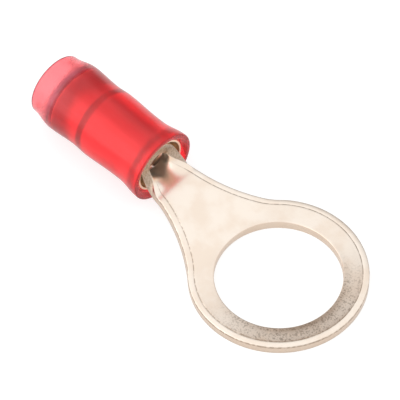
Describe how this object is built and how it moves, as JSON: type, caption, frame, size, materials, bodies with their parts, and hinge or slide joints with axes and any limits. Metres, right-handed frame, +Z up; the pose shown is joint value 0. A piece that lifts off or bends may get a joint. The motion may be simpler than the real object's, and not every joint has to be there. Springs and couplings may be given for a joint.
{
  "type": "ring terminal",
  "caption": "Insulated crimp ring terminal: a stamped, tin-plated ring tongue rolled into a wire barrel, with a metal support sleeve under a red nylon insulation sleeve.",
  "frame": {"origin": "centre of the stud hole on the underside of the ring tongue, which is the plane the terminal lies on", "axes": "+Z up along the stud hole, +X from the wire barrel towards the ring's tip, +Y to the left when looking along +X"},
  "size_m": [0.031, 0.0139, 0.0061],
  "materials": {
    "tin_plated_copper": "tin plate over copper, satin, with fine grey-brown speckle, small pits along the sheared edges and a smoother rolled-over rim",
    "support_metal": "plain drawn copper alloy, dull, seen through the nylon and in the mouth of the sleeve",
    "red_nylon": "translucent red nylon with a soft gloss, lighter and pinker at the collar where no metal lies behind it"
  },
  "bodies": {
    "root": {"terminal_body": "tin_plated_copper", "support_sleeve": "support_metal", "insulation_sleeve": "red_nylon"}
  },
  "joints": []
}
